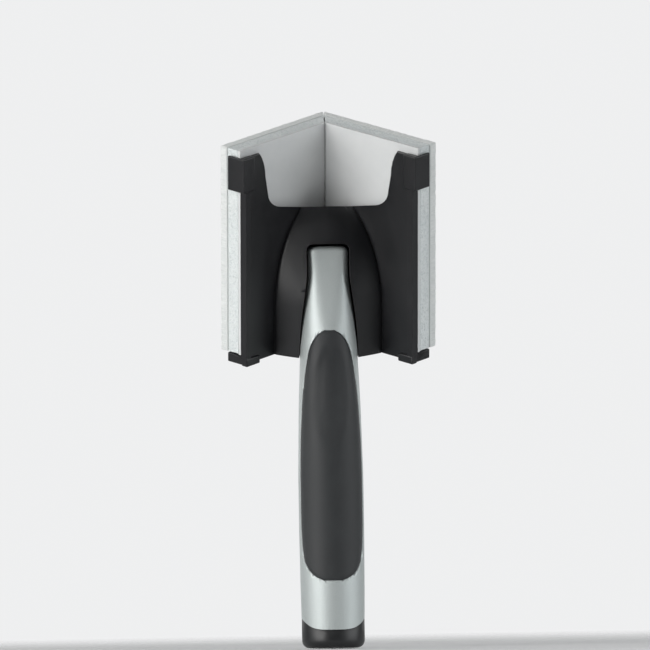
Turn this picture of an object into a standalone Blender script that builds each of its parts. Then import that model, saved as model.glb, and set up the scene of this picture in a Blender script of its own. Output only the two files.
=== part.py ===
"""Corner pad painter: a V-shaped holder with two slide-in pads on a soft-grip pole handle.

Frame: origin at the mouth of the pole socket in the end of the handle, +Z up the handle,
-Y toward the user, +X to the right. The holder is built in its own frame (x to the right,
front toward the user, up along the wall corner) and then leaned over by HEAD_LEAN.
"""

import math

import bmesh
import bpy
import numpy as np
from mathutils import Matrix, Vector

# Handle, lengths in metres up the handle from the mouth of the socket
HANDLE_LENGTH = 0.2130
HANDLE_STEPS = 64  # points round one ring
HANDLE_Z = (0.000, 0.014, 0.030, 0.045, 0.067, 0.088, 0.109, 0.125, 0.141, 0.152, 0.162,
            0.173, 0.1835, 0.189, 0.194, 0.199, 0.2055, 0.209)
HANDLE_HALF_WIDTH = (0.01655, 0.0167, 0.01695, 0.0171, 0.01725, 0.01725, 0.01685, 0.01650,
                     0.0159, 0.0154, 0.01495, 0.01405, 0.0127, 0.0119, 0.01125, 0.0109,
                     0.0109, 0.0110)
HANDLE_HALF_DEPTH = (0.01655, 0.0167, 0.0169, 0.0170, 0.0171, 0.0171, 0.0168, 0.0165,
                     0.0160, 0.0156, 0.0151, 0.0142, 0.0128, 0.0120, 0.0112, 0.0104,
                     0.0098, 0.0095)
ROUND_POWER = 2.0  # power of the round sections of the grip
NECK_POWER = 5.2  # power of the squarer sections of the neck
NECK_POWER_EASE = 1.35
NECK_START_Z = 0.165
TIP_ROUND = 0.0035
SEAM_Z = 0.0096  # joint between handle and end cap, at the front
SEAM_RISE = 0.0060  # how much higher that joint is at the sides
FIT_GAP = 0.0003

# Bore of the handle
SLEEVE_BORE_R = 0.0145
SLEEVE_BORE_Z = 0.0330
CORE_BORE_R = 0.0118
CORE_BORE_TIP_R = 0.0070
CORE_BORE_Z = 0.1480

# End cap and threaded insert for a 3/4 inch, 5 turns per inch pole
CAP_CORNER_R = 0.0040
CAP_FLOOR = 0.0030
CAP_SLEEVE_R = 0.0142
CAP_SLEEVE_TOP = 0.0320
CAP_MOUTH_R = 0.01025
HEX_SPLINE_HALF = 0.0110
INSERT_TOP = 0.0312
THREAD_PITCH = 0.00508
THREAD_MAJOR_R = 0.0097
THREAD_MINOR_R = 0.0083
THREAD_ROWS_PER_TURN = 12
CAP_STEPS = 48

# Soft grips
GRIP_Z = (0.0360, 0.0375, 0.0415, 0.0475, 0.0560, 0.0680, 0.0890, 0.1100, 0.1310, 0.1420,
          0.1520, 0.1585, 0.1635, 0.1665, 0.1680)
GRIP_HALF_WIDTH = (0.0050, 0.0087, 0.0128, 0.0151, 0.0159, 0.0163, 0.0163, 0.0159, 0.0147,
                   0.0135, 0.0120, 0.0106, 0.0083, 0.0055, 0.0027)
GRIP_DEEP = 0.0014
GRIP_PROUD = 0.0006
GRIP_ROWS = 40
GRIP_COLUMNS = 16
REAR_GRIP_SHARE = 0.90  # the rear grip is this much narrower
REAR_GRIP_TOP = 0.1400
THUMB_Z = 0.1335
THUMB_HALF_LENGTH = 0.0290
THUMB_HALF_WIDTH = 0.0088
THUMB_DEEP = 0.0007

# Holder, in its own frame
HEAD_LEAN = math.radians(19.5)
AXIS_FRONT = 0.0365  # how far the handle axis is in front of the corner line, at the lower edge
AXIS_Z = 0.1536  # where on the handle that point is
WING_SPAN = 0.0634
WING_THICK = 0.0028
WING_TALL = 0.1140
APEX_FILLET = 0.0040
APEX_FLAT = 0.0024
APEX_FLAT_HALF = WING_THICK * math.sqrt(2) - APEX_FLAT
LIP_HIGH = 0.0010
LIP_WIDE = 0.0036
FOOT_SPAN = 0.0105
FOOT_DROP = 0.0014
CLIP_REACH = 0.0075
CLIP_WALL = 0.0020
CLIP_LOW = 0.0957
CLIP_HIGH = 0.1146
EDGE_BREAK = 0.0006
TAB_SPAN = 0.0080
TAB_LOW = -0.0010
TAB_HIGH = 0.0042
TAB_REACH = 0.0100

# Dome of the holder, which carries the neck of the handle
DOME_HALF_WIDTH = 0.0286
DOME_STRAIGHT = 0.0250
DOME_RISE = 0.0590
DOME_UP = (0.000, 0.029, 0.051, 0.068, 0.084)
DOME_BULGE = (0.0115, 0.0100, 0.0062, 0.0038, 0.0020)
DOME_POWER = 1.5
DOME_STEP = 0.0010  # low wall round the foot of the dome
DOME_STEP_SHARE = 0.03
DOME_LOW = 0.0003
DOME_SIDES = 28
DOME_LAYERS = 32
POCKET_GAP = 0.0004
POCKET_ABOVE_TIP = 0.0010

# Notch between the arms, in the handle frame
NOTCH_Z = 0.2340
NOTCH_HALF_LOW = 0.0318
NOTCH_HALF_HIGH = 0.0332
NOTCH_CORNER = 0.0064
ARM_ROUND_Z = 0.2495
ARM_ROUND_WIDE = 0.0070
ARM_ROUND_TALL = 0.0145

# Neck screws
SCREW_UPS = (0.0130, 0.0400)
SCREW_R = 0.00175
SCREW_HEAD_R = 0.0032
SCREW_HEAD_TALL = 0.0020
SCREW_SEAT = -0.0005  # where the head seats, behind the inner corner line
SCREW_INTO_NECK = 0.0075
SCREW_STEPS = 24

# Pads
PAD_LOW = 0.0046
PAD_HIGH = 0.1182
PAD_END_GAP = 0.0001
BACKING_THICK = 0.0015
FOAM_THICK = 0.0071
NAP_THICK = 0.0055


def clear_scene():
    """Removes everything the file starts with."""
    for obj in list(bpy.data.objects):
        bpy.data.objects.remove(obj, do_unlink=True)


def material(name, colour, roughness, metallic=0.0):
    """A plain Principled material."""
    made = bpy.data.materials.new(name)
    made.use_nodes = True
    shader = made.node_tree.nodes["Principled BSDF"]
    shader.inputs["Base Color"].default_value = (*colour, 1.0)
    shader.inputs["Roughness"].default_value = roughness
    shader.inputs["Metallic"].default_value = metallic
    made.diffuse_color = (*colour, 1.0)
    return made


def mesh_object(name, points, faces, look=None, smooth=False):
    """An object made from points and faces, facing out."""
    mesh = bpy.data.meshes.new(name)
    mesh.from_pydata([tuple(p) for p in points], [], faces)
    shape = bmesh.new()
    shape.from_mesh(mesh)
    bmesh.ops.remove_doubles(shape, verts=shape.verts, dist=1e-7)
    bmesh.ops.recalc_face_normals(shape, faces=shape.faces)
    shape.to_mesh(mesh)
    shape.free()
    for polygon in mesh.polygons:
        polygon.use_smooth = smooth
    obj = bpy.data.objects.new(name, mesh)
    bpy.context.scene.collection.objects.link(obj)
    if look is not None:
        mesh.materials.append(look)
    return obj


def as_cutter(obj):
    """Marks a helper that only shapes another object."""
    obj.hide_render = True
    obj.display_type = "WIRE"
    return obj


def combine(obj, other, operation):
    """Adds a Boolean of another object."""
    as_cutter(other)
    step = obj.modifiers.new(operation.lower(), "BOOLEAN")
    step.operation = operation
    step.solver = "EXACT"
    step.object = other


def move_origin(obj, place):
    """Puts the object's origin at a place without moving its shape."""
    obj.data.transform(Matrix.Translation(-Vector(place)))
    obj.location = place


def rings_to_mesh(rings, closed_ends=True, looped=False):
    """Points and faces of a skin over rings of equal length."""
    count = len(rings[0])
    points = [p for ring in rings for p in ring]
    faces = []
    last = len(rings) if looped else len(rings) - 1
    for i in range(last):
        low = i * count
        high = ((i + 1) % len(rings)) * count
        for j in range(count):
            k = (j + 1) % count
            faces.append((low + j, low + k, high + k, high + j))
    if closed_ends and not looped:
        faces.append(tuple(range(count)))
        faces.append(tuple(range((len(rings) - 1) * count, len(rings) * count)))
    return points, faces


def smooth_value(at, places, values):
    """A smooth curve through a table, flat outside it and without overshoot."""
    x = np.asarray(places)
    y = np.asarray(values)
    step = np.diff(x)
    slope = np.diff(y) / step
    tangent = np.zeros(len(x))
    for i in range(1, len(x) - 1):
        if slope[i - 1] * slope[i] > 0:
            tangent[i] = 2.0 / (1.0 / slope[i - 1] + 1.0 / slope[i])
    tangent[0] = slope[0]
    tangent[-1] = slope[-1]
    at = min(max(at, x[0]), x[-1])
    i = min(int(np.searchsorted(x, at, side="right")) - 1, len(x) - 2)
    t = (at - x[i]) / step[i]
    h00 = (1 + 2 * t) * (1 - t) ** 2
    h10 = t * (1 - t) ** 2
    h01 = t * t * (3 - 2 * t)
    h11 = t * t * (t - 1)
    return float(
        h00 * y[i] + h10 * step[i] * tangent[i] + h01 * y[i + 1] + h11 * step[i] * tangent[i + 1]
    )


def handle_section(z):
    """Half width, half depth and power of the handle's section at a height."""
    wide = smooth_value(z, HANDLE_Z, HANDLE_HALF_WIDTH)
    deep = smooth_value(z, HANDLE_Z, HANDLE_HALF_DEPTH)
    share = min(max((z - NECK_START_Z) / (HANDLE_LENGTH - NECK_START_Z), 0.0), 1.0)
    power = ROUND_POWER + (NECK_POWER - ROUND_POWER) * share ** NECK_POWER_EASE
    return wide, deep, power


def signed_power(value, power):
    return math.copysign(abs(value) ** power, value)


def handle_point(angle, z, offset=0.0, shrink=1.0):
    """A point of the handle's skin; angle 0 is the front and 90 degrees the right side."""
    wide, deep, power = handle_section(z)
    x = wide * signed_power(math.sin(angle), 2 / power)
    y = -deep * signed_power(math.cos(angle), 2 / power)
    normal_x = signed_power(x / wide, power - 1) / wide
    normal_y = signed_power(y / deep, power - 1) / deep
    length = math.hypot(normal_x, normal_y)
    return (
        x * shrink + offset * normal_x / length,
        y * shrink + offset * normal_y / length,
        z,
    )


def tip_profile(steps=5):
    """(height, shrink) pairs that round the tip of the handle over."""
    pairs = []
    for i in range(steps + 1):
        turn = math.pi / 2 * i / steps
        height = HANDLE_LENGTH - TIP_ROUND * (1 - math.sin(turn))
        shrink = 1 - TIP_ROUND / HANDLE_HALF_WIDTH[-1] * (1 - math.cos(turn))
        pairs.append((height, shrink))
    return pairs


def seam_height(angle):
    """Height of the joint between handle and end cap round the handle."""
    return SEAM_Z + SEAM_RISE * abs(math.sin(angle)) ** 4.2


def angles(steps):
    return [2 * math.pi * i / steps for i in range(steps)]


def handle_shell(look):
    """Hollow silver handle with a blind bore from below and a solid neck."""
    turns = angles(HANDLE_STEPS)
    rings = []

    def bore_ring(radius, height):
        rings.append([(radius * math.sin(a), -radius * math.cos(a), height) for a in turns])

    bore_ring(CORE_BORE_TIP_R, CORE_BORE_Z)
    bore_ring(CORE_BORE_R, SLEEVE_BORE_Z + 0.020)
    bore_ring(CORE_BORE_R, SLEEVE_BORE_Z)
    bore_ring(SLEEVE_BORE_R, SLEEVE_BORE_Z)
    half_gap = FIT_GAP / 2
    rings.append(
        [
            (SLEEVE_BORE_R * math.sin(a), -SLEEVE_BORE_R * math.cos(a), seam_height(a) + half_gap)
            for a in turns
        ]
    )
    rings.append([handle_point(a, seam_height(a) + half_gap) for a in turns])
    straight_end = HANDLE_LENGTH - TIP_ROUND
    for z in np.linspace(SEAM_Z + SEAM_RISE + 0.004, straight_end - 0.002, 44):
        rings.append([handle_point(a, float(z)) for a in turns])
    for height, shrink in tip_profile():
        rings.append([handle_point(a, height, 0.0, shrink) for a in turns])
    points, faces = rings_to_mesh(rings)
    return mesh_object("handle_shell", points, faces, look, smooth=True)


def grip_edge(z, rear):
    """Angle from the middle of a grip at which it ends at this height."""
    wide, _, power = handle_section(z)
    share = 1.0
    if rear:
        share = REAR_GRIP_SHARE
        z = GRIP_Z[0] + (z - GRIP_Z[0]) * (GRIP_Z[-1] - GRIP_Z[0]) / (REAR_GRIP_TOP - GRIP_Z[0])
    reach = smooth_value(z, GRIP_Z, GRIP_HALF_WIDTH) * share
    return math.asin(min(reach / wide, 0.985) ** (power / 2))


def thumb_dip(x, z):
    """Depth of the shallow thumb rest at a point of the front grip."""
    across = x / THUMB_HALF_WIDTH
    along = (z - THUMB_Z) / THUMB_HALF_LENGTH
    reach = math.hypot(across, along)
    share = min(max((1.0 - reach) / 0.22, 0.0), 1.0)
    return THUMB_DEEP * share * share * (3 - 2 * share)


def grip_patch(name, look, rear, spread, out, deep):
    """A soft pad let into the handle. spread widens it, out and deep are its two skins."""
    top = REAR_GRIP_TOP if rear else GRIP_Z[-1]
    low = GRIP_Z[0] - spread
    high = top + spread
    rows = []
    for i in range(GRIP_ROWS + 1):
        t = 0.5 - 0.5 * math.cos(math.pi * i / GRIP_ROWS)
        z = low + (high - low) * t
        inner_z = min(max(z, GRIP_Z[0]), top)
        wide = handle_section(inner_z)[0]
        edge = grip_edge(inner_z, rear) + spread / wide
        outer = []
        inner = []
        for j in range(GRIP_COLUMNS + 1):
            angle = edge * (2 * j / GRIP_COLUMNS - 1)
            if rear:
                angle += math.pi
            skin = handle_point(angle, z)
            lift = out
            if not rear and spread == 0.0:
                lift -= thumb_dip(skin[0], z)
            edge_share = max(abs(2 * j / GRIP_COLUMNS - 1), abs(2 * t - 1) ** 6)
            if spread == 0.0:
                lift -= GRIP_PROUD * 1.2 * max(edge_share - 0.86, 0.0) / 0.14
            outer.append(handle_point(angle, z, lift))
            inner.append(handle_point(angle, z, -deep))
        rows.append(outer + inner[::-1])
    points, faces = rings_to_mesh(rows)
    return mesh_object(name, points, faces, look, smooth=True)


def let_in_grips(shell):
    """Cuts the two shallow recesses of the grips."""
    for name, rear in (("front_recess", False), ("rear_recess", True)):
        cutter = grip_patch(name, None, rear, FIT_GAP, 0.004, GRIP_DEEP + FIT_GAP)
        combine(shell, cutter, "DIFFERENCE")


def hexagon_radius(half, angle):
    """Distance to the side of a hexagon at an angle."""
    sixth = math.pi / 3
    return half / math.cos((angle % sixth) - sixth / 2)


def end_cap(look):
    """Black end cap: skirt, floor with the pole's hole, and a sleeve up inside the handle."""
    turns = angles(CAP_STEPS)
    columns = []
    for angle in turns:
        seam = seam_height(angle) - FIT_GAP / 2
        side_x, side_y, _ = handle_point(angle, SEAM_Z)
        side_r = math.hypot(side_x, side_y)
        hexagon = hexagon_radius(HEX_SPLINE_HALF + FIT_GAP, angle)
        profile = [(CAP_MOUTH_R, 0.0)]
        for i in range(6):
            turn = math.pi / 2 * i / 5
            profile.append(
                (
                    side_r - CAP_CORNER_R * (1 - math.sin(turn)),
                    CAP_CORNER_R * (1 - math.cos(turn)),
                )
            )
        profile.append((side_r, seam))
        profile.append((CAP_SLEEVE_R, seam))
        profile.append((CAP_SLEEVE_R, CAP_SLEEVE_TOP - 0.0008))
        profile.append((CAP_SLEEVE_R - 0.0005, CAP_SLEEVE_TOP))
        profile.append((hexagon, CAP_SLEEVE_TOP))
        profile.append((hexagon, CAP_FLOOR))
        profile.append((CAP_MOUTH_R, CAP_FLOOR))
        columns.append([(r * math.sin(angle), -r * math.cos(angle), z) for r, z in profile])
    points, faces = rings_to_mesh(columns, looped=True)
    return mesh_object("end_cap", points, faces, look, smooth=False)


def thread_radius(angle, z):
    """Inside radius of the trapezoidal pole thread."""
    phase = (z / THREAD_PITCH - angle / (2 * math.pi)) % 1.0
    ramp = 0.13
    rise = min(max((abs(phase - 0.5) - 0.18) / ramp, 0.0), 1.0)
    return THREAD_MAJOR_R - (THREAD_MAJOR_R - THREAD_MINOR_R) * rise


def thread_insert(look):
    """Six-sided insert with the inside pole thread."""
    low = CAP_FLOOR + FIT_GAP
    turn_count = (INSERT_TOP - low) / THREAD_PITCH
    heights = np.linspace(INSERT_TOP, low, int(turn_count * THREAD_ROWS_PER_TURN) + 1)
    columns = []
    for angle in angles(CAP_STEPS):
        outside = hexagon_radius(HEX_SPLINE_HALF, angle)
        profile = [(outside, low), (outside, INSERT_TOP)]
        for height in heights:
            profile.append((thread_radius(angle, float(height)), float(height)))
        columns.append([(r * math.sin(angle), -r * math.cos(angle), z) for r, z in profile])
    points, faces = rings_to_mesh(columns, looped=True)
    return mesh_object("thread_insert", points, faces, look, smooth=False)


def head_to_handle():
    """Matrix from the holder's frame (x, back, up) to the handle frame."""
    lean = Matrix.Rotation(HEAD_LEAN, 4, "X")
    axis_point = lean @ Vector((0.0, -AXIS_FRONT, 0.0))
    return Matrix.Translation(Vector((0.0, 0.0, AXIS_Z)) - axis_point) @ lean


def place_in_head(obj):
    obj.data.transform(head_to_handle())
    return obj


def wing_xy(along, out, side):
    """A point of a wing's section: along it from the corner, and out toward the pad."""
    x = (along + out) / math.sqrt(2)
    front = (along - out) / math.sqrt(2)
    return side * x, -front


def prism(name, outline, low, high, look=None):
    """A straight prism over an (x, y) outline."""
    rings = [[(x, y, z) for x, y in outline] for z in (low, high)]
    points, faces = rings_to_mesh(rings)
    return mesh_object(name, points, faces, look)


def wing_form(name, side, section, up):
    """A block over an (along, out) section of one wing, with its outer edges broken."""
    obj = prism(name, [wing_xy(along, out, side) for along, out in section], up[0], up[1])
    shape = bmesh.new()
    shape.from_mesh(obj.data)
    outer_edges = [e for e in shape.edges if e.calc_face_angle_signed() > 0.1]
    bmesh.ops.bevel(
        shape, geom=outer_edges, offset=EDGE_BREAK, segments=2, profile=0.5, affect="EDGES"
    )
    shape.to_mesh(obj.data)
    shape.free()
    return place_in_head(obj)


def box_section(along, out):
    return [(along[0], out[0]), (along[1], out[0]), (along[1], out[1]), (along[0], out[1])]


def holder_outline():
    """Section of the V: two wings with an edge lip and a filleted corner."""
    half = [
        (APEX_FLAT_HALF, APEX_FLAT),
        wing_xy(WING_SPAN, WING_THICK, 1),
        wing_xy(WING_SPAN, -LIP_HIGH, 1),
        wing_xy(WING_SPAN - LIP_WIDE, -LIP_HIGH, 1),
        wing_xy(WING_SPAN - LIP_WIDE - 0.0008, 0.0, 1),
    ]
    centre = APEX_FILLET * math.sqrt(2)
    for i in range(5):
        turn = math.radians(45 - 45 * i / 4)
        half.append(
            (APEX_FILLET * math.sin(turn), -(centre - APEX_FILLET * math.cos(turn)))
        )
    left = [(-x, y) for x, y in reversed(half[:-1])]
    return half + left


def dome_half_width(up):
    """Half width of the dome's outline on the wings at a height."""
    rise = max(up - DOME_STRAIGHT, 0.0) / DOME_RISE
    return DOME_HALF_WIDTH * math.sqrt(max(1 - rise * rise, 0.0))


def dome_solid():
    """The bulge in the V that the neck of the handle lies in."""
    rings = []
    top = DOME_STRAIGHT + DOME_RISE * 0.985
    inside = WING_THICK * 0.5 / math.sqrt(2)
    for layer in range(DOME_LAYERS + 1):
        up = DOME_LOW + (top - DOME_LOW) * layer / DOME_LAYERS
        wide = dome_half_width(up)
        bulge = smooth_value(up, DOME_UP, DOME_BULGE)
        ring = [(-wide - inside, -wide + inside, up)]
        for i in range(1, DOME_SIDES):
            share = -math.cos(math.pi * i / DOME_SIDES)
            step = DOME_STEP * min((1 - abs(share)) / DOME_STEP_SHARE, 1.0) ** 0.5
            swell = step + bulge * (1 - abs(share) ** DOME_POWER)
            ring.append((wide * share, -(wide + swell), up))
        ring.append((wide + inside, -wide + inside, up))
        ring.append((0.0, 2 * inside, up))
        rings.append(ring)
    points, faces = rings_to_mesh(rings)
    return place_in_head(mesh_object("dome_form", points, faces))


def pocket_solid():
    """Room for the neck, open to the user."""
    turns = angles(HANDLE_STEPS)
    heights = [(float(z), 1.0) for z in np.linspace(0.135, HANDLE_LENGTH - TIP_ROUND, 24)]
    heights += [(z, s) for z, s in tip_profile()[1:]]
    rings = []
    for z, shrink in heights:
        lift = POCKET_ABOVE_TIP if z > HANDLE_LENGTH - TIP_ROUND else 0.0
        ring = []
        wide = handle_section(z)[0] * shrink + POCKET_GAP
        for a in turns:
            x, y, _ = handle_point(a, z, POCKET_GAP, shrink)
            if math.cos(a) > 1e-6:
                x = wide * min(max(math.sin(a) * 1.6, -1.0), 1.0)
                y = -0.060 * min(math.cos(a) * 1.6, 1.0)
            ring.append((x, y, z + lift))
        rings.append(ring)
    points, faces = rings_to_mesh(rings)
    return mesh_object("pocket_form", points, faces)


def notch_solid():
    """The U-shaped opening between the two arms."""
    outline = []
    corner_x = NOTCH_HALF_LOW - NOTCH_CORNER
    for i in range(7):
        turn = math.pi / 2 * i / 6
        outline.append(
            (
                corner_x + NOTCH_CORNER * math.sin(turn),
                NOTCH_Z + NOTCH_CORNER * (1 - math.cos(turn)),
            )
        )
    for i in range(7):
        turn = math.pi / 2 * i / 6
        outline.append(
            (
                NOTCH_HALF_HIGH + ARM_ROUND_WIDE * (1 - math.cos(turn)),
                ARM_ROUND_Z + ARM_ROUND_TALL * math.sin(turn),
            )
        )
    outline.append((NOTCH_HALF_HIGH + ARM_ROUND_WIDE, 0.320))
    outline += [(-x, z) for x, z in reversed(outline)]
    rings = [[(x, y, z) for x, z in outline] for y in (-0.080, 0.080)]
    points, faces = rings_to_mesh(rings)
    return mesh_object("notch_form", points, faces)


def axis_front(up):
    """How far the handle axis is in front of the corner line at a height of the holder."""
    return AXIS_FRONT - math.tan(HEAD_LEAN) * up


def rod(name, profile, up, look=None):
    """A round piece along the holder's depth at x = 0; profile holds (radius, y) pairs."""
    rings = []
    for radius, y in profile:
        rings.append(
            [
                (radius * math.cos(a), y, up + radius * math.sin(a))
                for a in angles(SCREW_STEPS)
            ]
        )
    points, faces = rings_to_mesh(rings)
    return place_in_head(mesh_object(name, points, faces, look, smooth=True))


def neck_back(up):
    """y of the neck's back in the holder's frame, at a height of the holder."""
    along = AXIS_Z + up / math.cos(HEAD_LEAN)
    return -axis_front(up) + handle_section(along)[1] / math.cos(HEAD_LEAN)


def screw_hole(name, up):
    """Clearance hole with a counterbore for one neck screw."""
    head_seat = SCREW_SEAT - FIT_GAP
    wide = SCREW_R + FIT_GAP
    head = SCREW_HEAD_R + FIT_GAP
    into = neck_back(up) - SCREW_INTO_NECK - FIT_GAP * 2
    profile = [(wide, into), (wide, head_seat), (head, head_seat), (head, APEX_FLAT + 0.004)]
    return rod(name, profile, up)


def neck_screw(name, up, look):
    """Self-tapping screw with a pan head and a cross recess."""
    seat = SCREW_SEAT
    end = neck_back(up) - SCREW_INTO_NECK
    profile = [
        (SCREW_R * 0.25, end),
        (SCREW_R, end + 0.0025),
        (SCREW_R, seat),
        (SCREW_HEAD_R, seat),
        (SCREW_HEAD_R, seat + SCREW_HEAD_TALL * 0.5),
        (SCREW_HEAD_R * 0.72, seat + SCREW_HEAD_TALL),
    ]
    screw = rod(name, profile, up, look)
    for angle in (0.0, math.pi / 2):
        slot = mesh_object(name + "_slot", *slot_box(up, angle, seat + SCREW_HEAD_TALL))
        combine(screw, place_in_head(slot), "DIFFERENCE")
    return screw


def slot_box(up, angle, top):
    """Points and faces of one bar of a cross recess."""
    long = SCREW_R * 1.05
    thin = SCREW_R * 0.24
    ring = [(-long, -thin), (long, -thin), (long, thin), (-long, thin)]
    turned = [
        (
            x * math.cos(angle) - z * math.sin(angle),
            x * math.sin(angle) + z * math.cos(angle),
        )
        for x, z in ring
    ]
    rings = [[(x, y, up + z) for x, z in turned] for y in (top - 0.0012, top + 0.001)]
    return rings_to_mesh(rings)


def holder_body(look):
    """The black V holder as one moulding."""
    holder = place_in_head(prism("holder_body", holder_outline(), 0.0, WING_TALL, look))
    combine(holder, dome_solid(), "UNION")
    foot = box_section(
        (WING_SPAN - FOOT_SPAN, WING_SPAN - 0.0001), (-LIP_HIGH - 0.0003, WING_THICK - 0.0002)
    )
    tab = box_section(
        (WING_SPAN - TAB_SPAN, WING_SPAN - 0.0003), (WING_THICK - 0.0015, WING_THICK + TAB_REACH)
    )
    arm_start = WING_SPAN - LIP_WIDE - 0.0030
    arm_inside = -LIP_HIGH - 0.0004
    arm_outside = WING_THICK - 0.0003
    clip_end = WING_SPAN + CLIP_WALL
    clip = [
        (arm_start, arm_inside),
        (clip_end, arm_inside),
        (clip_end, WING_THICK + CLIP_REACH),
        (WING_SPAN + FIT_GAP, WING_THICK + CLIP_REACH),
        (WING_SPAN + FIT_GAP, arm_outside),
        (arm_start, arm_outside),
    ]
    forms = (
        ("foot", foot, (-FOOT_DROP, 0.0030)),
        ("tab", tab, (TAB_LOW, TAB_HIGH)),
        ("clip", clip, (CLIP_LOW, CLIP_HIGH)),
    )
    for side, label in ((-1, "left"), (1, "right")):
        for kind, section, up in forms:
            combine(holder, wing_form(f"{label}_{kind}_form", side, section, up), "UNION")
    combine(holder, notch_solid(), "DIFFERENCE")
    combine(holder, pocket_solid(), "DIFFERENCE")
    for number, up in enumerate(SCREW_UPS):
        combine(holder, screw_hole(f"holder_hole_{number}", up), "DIFFERENCE")
    return holder


def pad_layer(name, side, near, thick, look):
    """One layer of a pad: mitred at the wall corner and square at the outer edge."""
    far = near + thick
    mitre = FIT_GAP * 0.6 * math.sqrt(2)
    outline = [
        wing_xy(mitre - near, near, side),
        wing_xy(WING_SPAN - PAD_END_GAP, near, side),
        wing_xy(WING_SPAN - PAD_END_GAP, far, side),
        wing_xy(mitre - far, far, side),
    ]
    obj = prism(name, outline, PAD_LOW, PAD_HIGH, look)
    place_in_head(obj)
    centre = head_to_handle() @ Vector((*wing_xy(WING_SPAN / 2, near, side), PAD_LOW))
    move_origin(obj, centre)
    return obj


def pads(backing_look, foam_look, nap_look):
    """Two slide-in pads of backing, foam and nap."""
    for side, label in ((-1, "left"), (1, "right")):
        near = WING_THICK + FIT_GAP
        pad_layer(label + "_pad_backing", side, near, BACKING_THICK, backing_look)
        near += BACKING_THICK + FIT_GAP
        pad_layer(label + "_pad_foam", side, near, FOAM_THICK, foam_look)
        near += FOAM_THICK + FIT_GAP
        pad_layer(label + "_pad_nap", side, near, NAP_THICK, nap_look)


def build():
    clear_scene()
    black = material("black_plastic", (0.012, 0.012, 0.014), 0.42)
    cap_black = material("cap_plastic", (0.014, 0.014, 0.016), 0.38)
    silver = material("silver_plastic", (0.46, 0.49, 0.48), 0.30, 0.65)
    rubber = material("grip_rubber", (0.022, 0.023, 0.025), 0.62)
    nylon = material("insert_nylon", (0.016, 0.016, 0.018), 0.45)
    steel = material("screw_steel", (0.55, 0.55, 0.57), 0.28, 1.0)
    backing = material("pad_backing", (0.78, 0.79, 0.78), 0.45)
    foam = material("pad_foam", (0.80, 0.84, 0.84), 0.85)
    nap = material("pad_nap", (0.86, 0.88, 0.87), 0.95)
    shell = handle_shell(silver)
    let_in_grips(shell)
    for number, up in enumerate(SCREW_UPS):
        combine(shell, screw_hole(f"neck_hole_{number}", up), "DIFFERENCE")
    grip_patch("front_grip", rubber, False, 0.0, GRIP_PROUD, GRIP_DEEP)
    grip_patch("rear_grip", rubber, True, 0.0, GRIP_PROUD, GRIP_DEEP)
    end_cap(cap_black)
    thread_insert(nylon)
    holder_body(black)
    neck_screw("neck_screw_lower", SCREW_UPS[0], steel)
    neck_screw("neck_screw_upper", SCREW_UPS[1], steel)
    pads(backing, foam, nap)


build()
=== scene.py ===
"""Corner pad painter: the look of the part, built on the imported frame.

The tool stands on its end cap, handle down and holder up, in front of a plain pale studio.
"""

import math

import bmesh
import bpy
import numpy as np
from mathutils import Matrix, Vector


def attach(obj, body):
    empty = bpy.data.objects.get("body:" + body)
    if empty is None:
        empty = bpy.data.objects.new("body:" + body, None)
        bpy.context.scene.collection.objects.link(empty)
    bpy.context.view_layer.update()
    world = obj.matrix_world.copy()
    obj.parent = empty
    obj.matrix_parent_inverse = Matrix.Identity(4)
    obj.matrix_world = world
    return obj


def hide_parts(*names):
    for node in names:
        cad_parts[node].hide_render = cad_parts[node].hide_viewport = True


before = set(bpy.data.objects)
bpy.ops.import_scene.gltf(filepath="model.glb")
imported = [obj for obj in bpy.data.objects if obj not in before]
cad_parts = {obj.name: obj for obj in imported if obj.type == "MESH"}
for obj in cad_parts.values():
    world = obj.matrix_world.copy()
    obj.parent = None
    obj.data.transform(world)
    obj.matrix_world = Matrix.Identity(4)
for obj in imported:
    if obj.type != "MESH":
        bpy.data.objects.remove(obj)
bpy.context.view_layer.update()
scene = bpy.context.scene

MM = 0.001
HEAD_LEAN = math.radians(19.5)  # how far the holder and its pads lean toward the user

# Camera, in metres and degrees; lens and sensor in millimetres
CAMERA_AT = (-0.3247, -7.4870, 0.0614)
CAMERA_YAW = 2.47
CAMERA_PITCH = 0.84
CAMERA_ROLL = -0.95
CAMERA_LENS = 782.6
CAMERA_SENSOR = 36.0
CAMERA_NEAR = 0.1
CAMERA_FAR = 40.0

# Brightness of the surroundings toward the camera's side and behind the tool
WORLD_FRONT = 0.03
WORLD_BACK = 0.20
WORLD_LOW = 0.65  # share of it straight below
WORLD_HIGH = 1.05  # share of it straight above
WORLD_TINT = (0.97, 0.99, 1.0, 1)
WORLD_SEEN = (0.86, 0.865, 0.87, 1)  # what the camera sees of it

# Soft boxes: name, azimuth, elevation, distance, (width, height), watts and colour
WHITE = (1, 1, 1)
LIGHTS = (
    ("key_left", -54, 12, 1.2, (0.80, 1.0), 11.6, (1.0, 0.995, 0.985)),
    ("side_left", -85, 12, 1.2, (0.60, 1.0), 1.2, WHITE),
    ("fill_right", 58, 14, 1.2, (0.40, 0.9), 3.4, (0.96, 0.985, 1.0)),
    ("side_right", 80, 12, 1.2, (0.50, 1.0), 3.2, (0.97, 0.99, 1.0)),
    ("front", 0, 30, 1.3, (0.60, 0.50), 0.5, WHITE),
    ("top", 0, 78, 1.1, (0.9, 0.9), 0.9, WHITE),
    ("rear_left", -145, 20, 1.4, (0.7, 1.0), 3.4, WHITE),
    ("rear_right", 145, 20, 1.4, (0.7, 1.0), 3.4, WHITE),
)
LIGHT_CENTRE = Vector((0, 0, 0.15))

# Floor
FLOOR_RADII = (0.25, 0.6, 1.2, 2.4)
FLOOR_SIDES = 96
FLOOR_DROP = 0.4 * MM
FLOOR_CLEAR_FROM = 0.16  # where it starts to fade out
FLOOR_CLEAR_AT = 1.1

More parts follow.
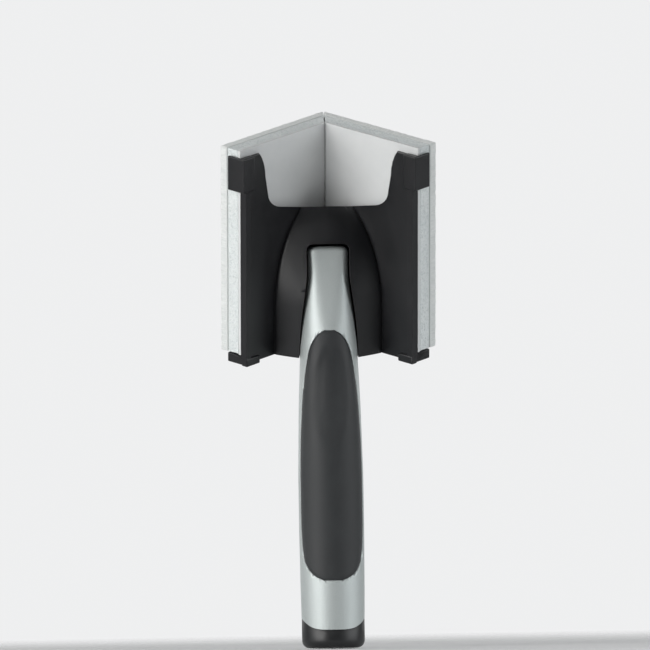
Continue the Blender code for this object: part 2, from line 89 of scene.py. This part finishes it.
# Rigid pieces
SHORTEST_EDGE = 0.06 * MM  # shorter ones only spoil the shading
CREASE_SMOOTH = 15  # degrees at which two faces of a lofted piece meet in a crisp edge
CREASE_GRIP = 24
CREASE_TURNED = 32
CREASE_FLAT = 28

# Pads: spacing of the mesh over the face and through the layer, and rounding of the edges
FOAM_STEP = 0.42 * MM
FOAM_DEEP_STEP = 0.40 * MM
FOAM_EDGE = 0.5 * MM
NAP_STEP = 0.46 * MM
NAP_DEEP_STEP = 0.38 * MM
NAP_EDGE = 1.1 * MM


# ---------------------------------------------------------------- node helpers


class Look:
    """A Principled material with short calls for its nodes."""

    def __init__(self, name):
        self.material = bpy.data.materials.new(name)
        self.material.use_nodes = True
        self.tree = self.material.node_tree
        self.shader = self.tree.nodes["Principled BSDF"]
        self.place = self.node("ShaderNodeTexCoord").outputs["Object"]

    def node(self, kind, inputs=None, **settings):
        made = self.tree.nodes.new(kind)
        for key, value in settings.items():
            setattr(made, key, value)
        for key, value in (inputs or {}).items():
            self.plug(made.inputs[key], value)
        return made

    def plug(self, socket, value):
        if isinstance(value, bpy.types.NodeSocket):
            self.tree.links.new(value, socket)
        elif socket.type == "RGBA" and len(value) == 3:
            socket.default_value = (*value, 1.0)
        else:
            socket.default_value = value

    def set(self, **values):
        """Sets sockets of the shader; an underscore stands for a space."""
        for key, value in values.items():
            self.plug(self.shader.inputs[key.replace("_", " ")], value)

    def attribute(self, name, output="Vector"):
        return self.node("ShaderNodeAttribute", attribute_name=name).outputs[output]

    def mapped(self, vector, scale):
        inputs = {"Vector": vector, "Scale": scale}
        return self.node("ShaderNodeMapping", inputs).outputs["Vector"]

    def noise(self, vector, scale, detail=2.0, roughness=0.5):
        inputs = {
            "Vector": vector,
            "Scale": scale,
            "Detail": detail,
            "Roughness": roughness,
        }
        return self.node("ShaderNodeTexNoise", inputs).outputs["Fac"]

    def cells(self, vector, scale, feature="F1", output="Distance"):
        inputs = {"Vector": vector, "Scale": scale}
        made = self.node("ShaderNodeTexVoronoi", inputs, feature=feature)
        return made.outputs[output]

    def spread(self, value, low, high, to_low=0.0, to_high=1.0, smooth=False):
        inputs = {
            "Value": value,
            "From Min": low,
            "From Max": high,
            "To Min": to_low,
            "To Max": to_high,
        }
        made = self.node("ShaderNodeMapRange", inputs)
        made.interpolation_type = "SMOOTHSTEP" if smooth else "LINEAR"
        return made.outputs["Result"]

    def maths(self, operation, a, b=0.0):
        made = self.node("ShaderNodeMath", operation=operation)
        self.plug(made.inputs[0], a)
        self.plug(made.inputs[1], b)
        return made.outputs["Value"]

    def mix(self, factor, a, b):
        """Colour a where factor is 0 and b where it is 1."""
        made = self.node("ShaderNodeMix", data_type="RGBA")
        self.plug(made.inputs[0], factor)
        self.plug(made.inputs[6], a)
        self.plug(made.inputs[7], b)
        return made.outputs[2]

    def bump(self, height, distance, strength=1.0, under=None):
        inputs = {"Height": height, "Distance": distance, "Strength": strength}
        if under is not None:
            inputs["Normal"] = under
        return self.node("ShaderNodeBump", inputs).outputs["Normal"]

    def soft_edges(self, radius):
        made = self.node("ShaderNodeBevel", {"Radius": radius}, samples=6)
        return made.outputs["Normal"]

    def edge_wear(self, rounded):
        """1 along rounded-over edges and 0 on flats."""
        flat = self.node("ShaderNodeNewGeometry").outputs["Normal"]
        dot = self.node("ShaderNodeVectorMath", operation="DOT_PRODUCT")
        self.plug(dot.inputs[0], rounded)
        self.plug(dot.inputs[1], flat)
        return self.spread(dot.outputs["Value"], 0.995, 0.86, 0.0, 1.0)


# ------------------------------------------------------------------- materials


def black_moulding(name, colour, worn, rough, grain, edge=0.00035):
    """Satin black injection moulding: fine spark texture, faint flow marks and polished edges."""
    look = Look(name)
    rounded = look.soft_edges(edge)
    wear = look.edge_wear(rounded)
    broad = look.noise(look.place, 34, 3, 0.55)
    flow = look.noise(look.mapped(look.place, (1, 1, 0.18)), 150, 3, 0.6)
    specks = look.spread(look.cells(look.place, 420), 0.05, 0.02, 0.0, 0.5)
    tone = look.mix(look.spread(broad, 0.3, 0.7), colour, tuple(c * 1.28 for c in colour))
    tone = look.mix(look.maths("MULTIPLY", specks, look.spread(broad, 0.45, 0.6)), tone, worn)
    tone = look.mix(look.maths("MULTIPLY", wear, 0.12), tone, worn)
    gloss = look.maths("ADD", look.spread(flow, 0.3, 0.7, rough - 0.045, rough + 0.05),
                       look.spread(broad, 0.3, 0.7, -0.02, 0.03))
    gloss = look.maths("SUBTRACT", gloss, look.maths("MULTIPLY", wear, 0.08))
    fine = look.noise(look.place, 3600, 2, 0.6)
    pits = look.cells(look.place, 2300)
    normal = look.bump(look.noise(look.place, 70, 2), 0.00012, 0.25, rounded)
    normal = look.bump(pits, grain * 0.6, 0.45, normal)
    normal = look.bump(fine, grain, 0.5, normal)
    look.set(Base_Color=tone, Roughness=gloss, Normal=normal, Specular_IOR_Level=0.52)
    return look.material


def silver_lacquer():
    """Silver metallic lacquer on plastic: fine flakes, slight orange peel, a thin clear coat."""
    look = Look("silver_lacquer")
    rounded = look.soft_edges(0.00025)
    wear = look.edge_wear(rounded)
    broad = look.noise(look.mapped(look.place, (1, 1, 0.35)), 60, 3, 0.55)
    flake = look.cells(look.place, 5200, output="Color")
    flake = look.node("ShaderNodeRGBToBW", {"Color": flake}).outputs["Val"]
    tone = look.mix(flake, (0.52, 0.565, 0.56), (0.63, 0.675, 0.67))
    tone = look.mix(look.spread(broad, 0.3, 0.7, 0.0, 0.35), tone, (0.55, 0.585, 0.58))
    tone = look.mix(look.maths("MULTIPLY", wear, 0.12), tone, (0.36, 0.38, 0.38))
    gloss = look.maths("ADD", look.spread(flake, 0, 1, 0.50, 0.60),
                       look.spread(broad, 0.3, 0.7, -0.02, 0.03))
    normal = look.bump(look.noise(look.place, 520, 2), 0.00003, 0.30, rounded)
    normal = look.bump(flake, 0.000012, 0.35, normal)
    look.set(Base_Color=tone, Roughness=gloss, Normal=normal, Metallic=0.62,
             Coat_Weight=0.14, Coat_Roughness=0.30)
    return look.material


def soft_rubber():
    """Black thermoplastic rubber with a matt stippled skin that holds a little dust."""
    look = Look("grip_rubber")
    broad = look.noise(look.place, 55, 4, 0.6)
    stipple = look.cells(look.place, 2600)
    fine = look.noise(look.place, 5200, 2, 0.6)
    dust = look.spread(look.noise(look.place, 900, 4, 0.75), 0.60, 0.78, 0.0, 0.35)
    tone = look.mix(look.spread(broad, 0.3, 0.7), (0.026, 0.028, 0.030), (0.034, 0.037, 0.039))
    tone = look.mix(dust, tone, (0.060, 0.063, 0.066))
    gloss = look.spread(broad, 0.3, 0.7, 0.50, 0.60)
    normal = look.bump(look.noise(look.place, 130, 3), 0.00010, 0.25)
    normal = look.bump(stipple, 0.00006, 0.45, normal)
    normal = look.bump(fine, 0.00003, 0.5, normal)
    look.set(Base_Color=tone, Roughness=gloss, Normal=normal, Specular_IOR_Level=0.42,
             Sheen_Weight=0.10, Sheen_Roughness=0.5)
    return look.material


def zinc_steel():
    """Zinc plated screw steel."""
    look = Look("zinc_steel")
    broad = look.noise(look.place, 700, 3)
    tone = look.mix(broad, (0.50, 0.51, 0.53), (0.70, 0.71, 0.72))
    gloss = look.spread(look.noise(look.place, 2600, 3), 0.3, 0.7, 0.20, 0.36)
    normal = look.bump(broad, 0.00003, 0.4, look.soft_edges(0.0002))
    look.set(Base_Color=tone, Roughness=gloss, Normal=normal, Metallic=1.0)
    return look.material


def backing_sheet():
    """White plastic sheet behind the foam."""
    look = Look("backing_sheet")
    broad = look.noise(look.place, 90, 3)
    fine = look.noise(look.place, 2600, 3, 0.6)
    tone = look.mix(broad, (0.72, 0.74, 0.74), (0.80, 0.81, 0.81))
    gloss = look.spread(fine, 0.3, 0.7, 0.36, 0.48)
    normal = look.bump(fine, 0.00003, 0.5, look.soft_edges(0.0003))
    look.set(Base_Color=tone, Roughness=gloss, Normal=normal)
    return look.material


def foam_look():
    """White open-cell foam: fine cells of uneven size, with painted shade inside the open ones.
    """
    look = Look("pad_foam")
    place = look.attribute("pad")
    small = look.cells(place, 1900)
    large = look.cells(place, 1050, feature="SMOOTH_F1")
    deep = look.attribute("pit", "Fac")
    broad = look.noise(place, 60, 3, 0.6)
    tone = look.mix(look.spread(broad, 0.3, 0.7), (0.80, 0.845, 0.845), (0.855, 0.885, 0.88))
    # painted shade: darker in the hollows of the small cells, the same cells the bump below sinks
    tone = look.mix(look.spread(small, 0.55, 0.12, 0.0, 0.30), tone, (0.62, 0.67, 0.675))
    # painted shade: darker in the pits pressed into the mesh, from the pit mask
    tone = look.mix(look.maths("MULTIPLY", deep, 0.55), tone, (0.55, 0.60, 0.605))
    normal = look.bump(large, 0.00022, 0.5)
    normal = look.bump(small, 0.00014, 0.6, normal)
    look.set(Base_Color=tone, Roughness=look.spread(broad, 0.3, 0.7, 0.82, 0.92), Normal=normal,
             Specular_IOR_Level=0.25, Sheen_Weight=0.12)
    return look.material


def nap_look():
    """White nylon pile on a thin woven back: fibre streaks along the pile with painted shade in
    their grooves and between tufts, and soft mottling.
    """
    look = Look("pad_nap")
    place = look.attribute("pad")
    deep = look.attribute("pit", "Fac")
    weave = look.attribute("weave", "Fac")
    streaks = look.noise(look.mapped(place, (1, 0.10, 1)), 3400, 3, 0.65)
    tufts = look.cells(look.mapped(place, (1, 0.15, 1)), 2600)
    broad = look.noise(place, 75, 4, 0.6)
    tone = look.mix(look.spread(broad, 0.3, 0.7), (0.80, 0.825, 0.815), (0.87, 0.885, 0.875))
    # painted shade: darker in the low grooves of the fibre streaks, the same streaks the bump
    # below sinks
    tone = look.mix(look.spread(streaks, 0.62, 0.36, 0.0, 0.32), tone, (0.62, 0.655, 0.645))
    # painted shade: darker in the gaps between tufts and between fibre columns, from the pit mask
    tone = look.mix(look.maths("MULTIPLY", deep, 0.55), tone, (0.50, 0.54, 0.53))
    wave = look.node("ShaderNodeTexWave", {"Vector": place, "Scale": 420.0, "Distortion": 0.6},
                     bands_direction="Z")
    cross = look.node("ShaderNodeTexWave", {"Vector": place, "Scale": 420.0, "Distortion": 0.6},
                      bands_direction="X")
    cloth = look.maths("MULTIPLY", wave.outputs["Fac"], cross.outputs["Fac"])
    tone = look.mix(look.maths("MULTIPLY", weave, look.spread(cloth, 0, 1, 0.9, 0.4)), tone,
                    (0.60, 0.63, 0.62))
    normal = look.bump(tufts, 0.00012, 0.4)
    normal = look.bump(streaks, 0.00014, 0.6, normal)
    look.set(Base_Color=tone, Roughness=look.spread(broad, 0.3, 0.7, 0.85, 0.96), Normal=normal,
             Specular_IOR_Level=0.2, Sheen_Weight=0.35, Sheen_Roughness=0.4)
    return look.material


# ------------------------------------------------------------------ mesh helpers


def link(name, mesh):
    obj = bpy.data.objects.new(name, mesh)
    scene.collection.objects.link(obj)
    return obj


def set_smooth(mesh, angle=None):
    """Smooth shading, with a crisp edge wherever two faces meet at more than angle degrees."""
    mesh.polygons.foreach_set("use_smooth", np.ones(len(mesh.polygons), bool))
    if angle is not None:
        mesh.set_sharp_from_angle(angle=math.radians(angle))


def skinned(node, name, look, body, angle):
    """A smooth-shaded piece over a CAD node, in its shape."""
    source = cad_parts[node].data
    shape = bmesh.new()
    shape.from_mesh(source)
    bmesh.ops.remove_doubles(shape, verts=shape.verts, dist=2e-6)
    bmesh.ops.dissolve_degenerate(shape, edges=shape.edges, dist=SHORTEST_EDGE)
    mesh = bpy.data.meshes.new(name)
    shape.to_mesh(mesh)
    shape.free()
    set_smooth(mesh, angle)
    mesh.materials.append(look)
    obj = link(name, mesh)
    even = obj.modifiers.new("even_shading", "WEIGHTED_NORMAL")
    even.keep_sharp = True
    even.mode = "FACE_AREA_WITH_ANGLE"
    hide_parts(node)
    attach(obj, body)


def hashed(cell, seed):
    """A repeatable value from 0 to 1 for each whole-number cell."""
    x, y, z = (cell[:, i].astype(np.int64) for i in range(3))
    mixed = x * 73856093 ^ y * 19349663 ^ z * 83492791 ^ (seed * 2654435761)
    mixed = (mixed ^ (mixed >> 13)) * 1274126177 & 0xFFFFFFFF
    mixed = (mixed ^ (mixed >> 16)) * 2246822519 & 0xFFFFFFFF
    return ((mixed ^ (mixed >> 15)) & 0xFFFFFF) / float(0xFFFFFF)


def value_noise(points, size, seed=1):
    """Smooth noise from 0 to 1 with bumps about size across."""
    at = points / np.asarray(size)
    cell = np.floor(at)
    part = at - cell
    part = part * part * (3 - 2 * part)
    total = np.zeros(len(points))
    for corner in range(8):
        step = np.array([corner & 1, corner >> 1 & 1, corner >> 2 & 1])
        share = np.prod(np.where(step, part, 1 - part), axis=1)
        total += share * hashed(cell + step, seed)
    return total


def cell_noise(points, size, seed=1):
    """Distance to the nearest and next seed point, in cells, and a value for the nearest."""
    at = points / np.asarray(size)
    cell = np.floor(at)
    near = np.full(len(points), 9.0)
    after = np.full(len(points), 9.0)
    value = np.zeros(len(points))
    for i in range(-1, 2):
        for j in range(-1, 2):
            for k in range(-1, 2):
                other = cell + (i, j, k)
                spot = other + np.stack([hashed(other, seed + n) for n in (3, 5, 7)], axis=1)
                away = np.linalg.norm(at - spot, axis=1)
                closer = away < near
                after = np.where(closer, near, np.minimum(after, away))
                value = np.where(closer, hashed(other, seed + 11), value)
                near = np.where(closer, away, near)
    return near, after, value


def smooth_step(value, low, high):
    share = np.clip((value - low) / (high - low), 0, 1)
    return share * share * (3 - 2 * share)


def box_skin(counts, open_sides):
    """Whole-number points and quads on the skin of a box, without the faces of open_sides.

    open_sides holds (axis, 0 or 1); each is closed later by one face.
    """
    found = {}
    points = []
    quads = []

    def at(place):
        if place not in found:
            found[place] = len(points)
            points.append(place)
        return found[place]

    for axis in range(3):
        one, two = (axis + 1) % 3, (axis + 2) % 3
        for side in (0, 1):
            if (axis, side) in open_sides:
                continue
            fixed = counts[axis] * side
            for i in range(counts[one]):
                for j in range(counts[two]):
                    quad = []
                    for di, dj in ((0, 0), (1, 0), (1, 1), (0, 1)):
                        place = [0, 0, 0]
                        place[axis] = fixed
                        place[one] = i + di
                        place[two] = j + dj
                        quad.append(at(tuple(place)))
                    quads.append(quad if side else quad[::-1])
    return np.array(points), quads, found


def rim_loop(counts, axis, side, found):
    """The points round one side of the box, in order."""
    one, two = (axis + 1) % 3, (axis + 2) % 3
    fixed = counts[axis] * side
    walk = [(i, 0) for i in range(counts[one])]
    walk += [(counts[one], j) for j in range(counts[two])]
    walk += [(i, counts[two]) for i in range(counts[one], 0, -1)]
    walk += [(0, j) for j in range(counts[two], 0, -1)]
    loop = []
    for i, j in walk:
        place = [0, 0, 0]
        place[axis] = fixed
        place[one] = i
        place[two] = j
        loop.append(found[tuple(place)])
    return loop if side else loop[::-1]


# ------------------------------------------------------------------------- pads


def pad_axes(side):
    """Unit vectors along a pad (from the corner out), through it (outward) and up it."""
    half = math.sqrt(0.5)
    lean = Matrix.Rotation(HEAD_LEAN, 3, "X")
    along = lean @ Vector((side * half, -half, 0))
    out = lean @ Vector((side * half, half, 0))
    up = lean @ Vector((0, 0, 1))
    return np.array([along, out, up])


def pad_space(node, side):
    """The node's extents in pad axes: lows, highs, and its inner end near and far."""
    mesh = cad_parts[node].data
    points = np.empty(len(mesh.vertices) * 3, np.float32)
    mesh.vertices.foreach_get("co", points)
    placed = points.reshape(-1, 3).astype(float) @ pad_axes(side).T
    low, high = placed.min(axis=0), placed.max(axis=0)
    middle = (low[1] + high[1]) / 2
    inner_near = placed[placed[:, 1] < middle, 0].min()
    inner_far = placed[placed[:, 1] > middle, 0].min()
    return low, high, inner_near, inner_far


def pad_block(node, side, step, deep_step, radius, open_sides, shape_it):
    """A dense rounded block in a pad layer's space; shape_it moves its points in pad axes."""
    low, high, inner_near, inner_far = pad_space(node, side)
    size = high - (inner_near, low[1], low[2])
    counts = [max(int(round(length / step)), 4) for length in size]
    counts[1] = max(int(round(size[1] / deep_step)), 6)
    grid, quads, found = box_skin(counts, open_sides)
    share = grid / np.array(counts)
    flat = share * size
    core = np.clip(flat, radius, size - radius)
    away = flat - core
    length = np.linalg.norm(away, axis=1)
    normal = away / np.maximum(length, 1e-9)[:, None]
    rounded = core + normal * np.minimum(np.max(np.abs(away), axis=1), radius)[:, None]
    shaped, extra = shape_it(rounded, normal, size, share)
    shear = (inner_far - inner_near) * np.clip(shaped[:, 1] / size[1], -0.2, 1.2)
    inner_share = np.clip(1 - shaped[:, 0] / size[0], 0, 1)
    placed = shaped + (inner_near, low[1], low[2])
    placed[:, 0] += shear * inner_share
    world = placed @ pad_axes(side)
    faces = [list(q) for q in quads]
    for axis, which in open_sides:
        faces.append(rim_loop(counts, axis, which, found))
    if side < 0:
        faces = [f[::-1] for f in faces]
    return world, faces, placed - (inner_near, low[1], low[2]), extra


def pad_piece(name, node, body, look, built):
    world, faces, place, extra = built
    mesh = bpy.data.meshes.new(name)
    mesh.from_pydata(world.tolist(), [], faces)
    layer = mesh.attributes.new("pad", "FLOAT_VECTOR", "POINT")
    layer.data.foreach_set("vector", place.astype(np.float32).ravel())
    for key, values in extra.items():
        layer = mesh.attributes.new(key, "FLOAT", "POINT")
        layer.data.foreach_set("value", values.astype(np.float32))
    mesh.update()
    set_smooth(mesh)
    mesh.materials.append(look)
    obj = link(name, mesh)
    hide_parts(node)
    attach(obj, body)
    return obj


def foam_shape(rounded, normal, size, share):
    """Open cells pressed into the cut faces, and a slight waist between backing and nap."""
    middle = 1 - (2 * share[:, 1] - 1) ** 2
    near, after, value = cell_noise(rounded, 1.05 * MM, 21)
    small, small_after, _ = cell_noise(rounded, 0.62 * MM, 57)
    pit = smooth_step(after - near, 0.06, 0.34) * smooth_step(value, 0.25, 0.75)
    pit_small = smooth_step(small_after - small, 0.05, 0.30)
    swell = value_noise(rounded, 9 * MM, 5) - 0.5
    edge = smooth_step(np.abs(2 * share[:, 1] - 1), 1.0, 0.86)
    depth = edge * (0.30 * MM * pit + 0.12 * MM * pit_small)
    depth += middle * 0.22 * MM + 0.10 * MM * swell * edge
    moved = rounded - normal * depth[:, None]
    # the pit mask goes to the foam's look, where it paints shade inside the open cells
    return moved, {"pit": np.clip(0.75 * pit + 0.35 * pit_small, 0, 1) * edge}


def nap_shape(rounded, normal, size, share):
    """Short dense pile: tufts on the face, fibre columns on the sides, and a rounded brow."""
    deep = np.clip(rounded[:, 1] / size[1], 0, 1)
    face = smooth_step(normal[:, 1], 0.35, 0.95)
    flat_place = rounded * (1, 0.12, 1)
    near, after, value = cell_noise(flat_place, 0.95 * MM, 31)
    _, _, fine_value = cell_noise(flat_place, 0.62 * MM, 77)
    gap = 1 - smooth_step(after - near, 0.0, 0.30)
    lay = value_noise(rounded * (1, 0, 1), 11 * MM, 9) - 0.5
    lay += 0.5 * (value_noise(rounded * (1, 0, 1), 4 * MM, 13) - 0.5)
    height = 0.10 * MM * (value - 0.5) - 0.10 * MM * gap + 0.10 * MM * (fine_value - 0.5)
    height += 0.22 * MM * lay - 0.06 * MM
    columns = value_noise(rounded * (1, 0.10, 1), 0.55 * MM, 41) - 0.5
    clumps = value_noise(rounded * (1, 0.15, 1), 2.2 * MM, 43) - 0.5
    pile = smooth_step(deep, 0.10, 0.34)
    sideways = pile * (0.34 * MM * columns + 0.42 * MM * clumps * deep)
    moved = rounded.copy()
    side_normal = normal * (1, 0, 1)
    moved += side_normal * sideways[:, None]
    moved[:, 1] += face * height
    inner = smooth_step(share[:, 0], 0.0, 0.02)
    moved[:, 0] = rounded[:, 0] * (1 - inner) + moved[:, 0] * inner
    # mask of the gaps between tufts and between fibre columns, used for painted shade in the
    # nap's look
    pit = face * np.clip(0.25 * gap + 0.45 * (0.5 - fine_value), 0, 1)
    pit += (1 - face) * pile * np.clip(0.9 * (0.45 - columns - 0.5 * clumps) - 0.25, 0, 1)
    weave = 1 - smooth_step(deep, 0.09, 0.14)
    return moved, {"pit": np.clip(pit, 0, 1), "weave": weave}


def make_pads(foam_material, nap_material, backing_material):
    for side, label in ((-1, "left"), (1, "right")):
        body = label + "_pad"
        skinned(f"{label}_pad_backing", f"{label}_backing_sheet", backing_material, body,
                CREASE_FLAT)
        foam = pad_block(f"{label}_pad_foam", side, FOAM_STEP, FOAM_DEEP_STEP, FOAM_EDGE,
                         [(1, 0), (1, 1)], foam_shape)
        foam = pad_piece(f"{label}_foam", f"{label}_pad_foam", body, foam_material,
                         foam)
        nap = pad_block(f"{label}_pad_nap", side, NAP_STEP, NAP_DEEP_STEP, NAP_EDGE,
                        [(1, 0)], nap_shape)
        nap = pad_piece(f"{label}_nap", f"{label}_pad_nap", body, nap_material, nap)


# ------------------------------------------------------------------- rigid parts


def make_rigid():
    black = black_moulding("holder_black", (0.0064, 0.0067, 0.0082), (0.036, 0.039, 0.044),
                           0.36, 0.000045, 0.0002)
    cap = black_moulding("cap_black", (0.0120, 0.0125, 0.0135), (0.045, 0.047, 0.050),
                         0.36, 0.000030)
    nylon = black_moulding("insert_black", (0.016, 0.016, 0.017), (0.05, 0.05, 0.052),
                           0.46, 0.000040, 0.00015)
    silver = silver_lacquer()
    rubber = soft_rubber()
    steel = zinc_steel()
    rows = (
        ("holder_body", "holder", black, CREASE_SMOOTH),
        ("handle_shell", "handle", silver, CREASE_SMOOTH),
        ("front_grip", "front_soft_grip", rubber, CREASE_GRIP),
        ("rear_grip", "rear_soft_grip", rubber, CREASE_GRIP),
        ("end_cap", "cap", cap, CREASE_TURNED),
        ("thread_insert", "insert", nylon, CREASE_TURNED),
        ("neck_screw_lower", "lower_screw", steel, CREASE_TURNED),
        ("neck_screw_upper", "upper_screw", steel, CREASE_TURNED),
    )
    for node, name, look, angle in rows:
        skinned(node, name, look, "tool", angle)


# ------------------------------------------------------------------------ studio


def make_floor():
    """A pale floor that fades out well away from the tool, and is clear from below."""
    steps = FLOOR_SIDES
    points = [(0.0, 0.0, 0.0)]
    for radius in FLOOR_RADII:
        for i in range(steps):
            turn = 2 * math.pi * i / steps
            points.append((radius * math.cos(turn), radius * math.sin(turn), 0.0))
    faces = [(0, 1 + i, 1 + (i + 1) % steps) for i in range(steps)]
    for ring in range(len(FLOOR_RADII) - 1):
        low = 1 + ring * steps
        for i in range(steps):
            j = (i + 1) % steps
            faces.append((low + i, low + steps + i, low + steps + j, low + j))
    mesh = bpy.data.meshes.new("floor")
    mesh.from_pydata(points, [], faces)
    floor = link("floor", mesh)
    floor.location.z = -FLOOR_DROP
    look = Look("floor_paper")
    tone = look.mix(look.noise(look.place, 9, 3), (0.80, 0.805, 0.81), (0.82, 0.825, 0.83))
    look.set(Base_Color=tone, Roughness=0.9, Specular_IOR_Level=0.1)
    look.set(Normal=look.bump(look.noise(look.place, 900, 3), 0.00005, 0.3))
    length = look.node("ShaderNodeVectorMath", {0: look.place}, operation="LENGTH")
    fade = look.spread(length.outputs["Value"], FLOOR_CLEAR_FROM, FLOOR_CLEAR_AT, smooth=True)
    below = look.node("ShaderNodeNewGeometry").outputs["Backfacing"]
    clear = look.node("ShaderNodeBsdfTransparent")
    mixed = look.node("ShaderNodeMixShader", {0: look.maths("MAXIMUM", fade, below)})
    look.tree.links.new(look.shader.outputs["BSDF"], mixed.inputs[1])
    look.tree.links.new(clear.outputs["BSDF"], mixed.inputs[2])
    end = look.tree.nodes["Material Output"]
    look.tree.links.new(mixed.outputs["Shader"], end.inputs["Surface"])
    mesh.materials.append(look.material)


def make_world():
    """Dim surroundings, brighter behind the tool; the camera itself sees an even pale grey."""
    world = bpy.data.worlds.new("studio")
    scene.world = world
    world.use_nodes = True
    tree = world.node_tree
    tree.nodes.clear()

    def add(kind, **inputs):
        made = tree.nodes.new(kind)
        for key, value in inputs.items():
            socket = made.inputs[key.replace("_", " ")]
            if isinstance(value, bpy.types.NodeSocket):
                tree.links.new(value, socket)
            else:
                socket.default_value = value
        return made

    place = add("ShaderNodeTexCoord").outputs["Generated"]
    split = add("ShaderNodeSeparateXYZ", Vector=place)
    depth = add("ShaderNodeMapRange", Value=split.outputs["Y"], From_Min=-0.4, From_Max=0.7,
                To_Min=WORLD_FRONT, To_Max=WORLD_BACK)
    tall = add("ShaderNodeMapRange", Value=split.outputs["Z"], From_Min=-1.0, From_Max=1.0,
               To_Min=WORLD_LOW, To_Max=WORLD_HIGH)
    power = add("ShaderNodeMath")
    power.operation = "MULTIPLY"
    tree.links.new(depth.outputs["Result"], power.inputs[0])
    tree.links.new(tall.outputs["Result"], power.inputs[1])
    soft = add("ShaderNodeBackground", Color=WORLD_TINT, Strength=power.outputs[0])
    seen = add("ShaderNodeBackground", Color=WORLD_SEEN)
    path = add("ShaderNodeLightPath")
    mixed = add("ShaderNodeMixShader", Fac=path.outputs["Is Camera Ray"])
    tree.links.new(soft.outputs[0], mixed.inputs[1])
    tree.links.new(seen.outputs[0], mixed.inputs[2])
    end = tree.nodes.new("ShaderNodeOutputWorld")
    tree.links.new(mixed.outputs[0], end.inputs["Surface"])


def soft_light(name, azimuth, elevation, distance, size, power, colour):
    """A soft box aimed at the middle of the tool. Azimuth 0 is in front, 90 is to the right."""
    lamp = bpy.data.lights.new(name, "AREA")
    lamp.shape = "RECTANGLE"
    lamp.size, lamp.size_y = size
    lamp.energy = power
    lamp.color = colour
    obj = link(name, lamp)
    a, e = math.radians(azimuth), math.radians(elevation)
    toward = Vector((math.sin(a) * math.cos(e), -math.cos(a) * math.cos(e), math.sin(e)))
    obj.location = LIGHT_CENTRE + toward * distance
    obj.rotation_euler = toward.to_track_quat("Z", "Y").to_euler()
    obj.visible_camera = False


def make_lights():
    for row in LIGHTS:
        soft_light(*row)


def make_camera():
    yaw, pitch, roll = (math.radians(v) for v in (CAMERA_YAW, CAMERA_PITCH, CAMERA_ROLL))
    ahead = Vector((math.sin(yaw) * math.cos(pitch), math.cos(yaw) * math.cos(pitch),
                    math.sin(pitch)))
    right = Vector((math.cos(yaw), -math.sin(yaw), 0))
    up = right.cross(ahead)
    turned_right = math.cos(roll) * right + math.sin(roll) * up
    turned_up = -math.sin(roll) * right + math.cos(roll) * up
    data = bpy.data.cameras.new("camera")
    data.sensor_width = CAMERA_SENSOR
    data.lens = CAMERA_LENS
    data.clip_start = CAMERA_NEAR
    data.clip_end = CAMERA_FAR
    camera = link("camera", data)
    basis = Matrix((turned_right, turned_up, -ahead)).transposed().to_4x4()
    camera.matrix_world = Matrix.Translation(Vector(CAMERA_AT)) @ basis
    scene.camera = camera


scene.view_settings.view_transform = "Standard"
scene.view_settings.look = "None"
make_camera()
make_world()
make_lights()
make_floor()
make_rigid()
make_pads(foam_look(), nap_look(), backing_sheet())
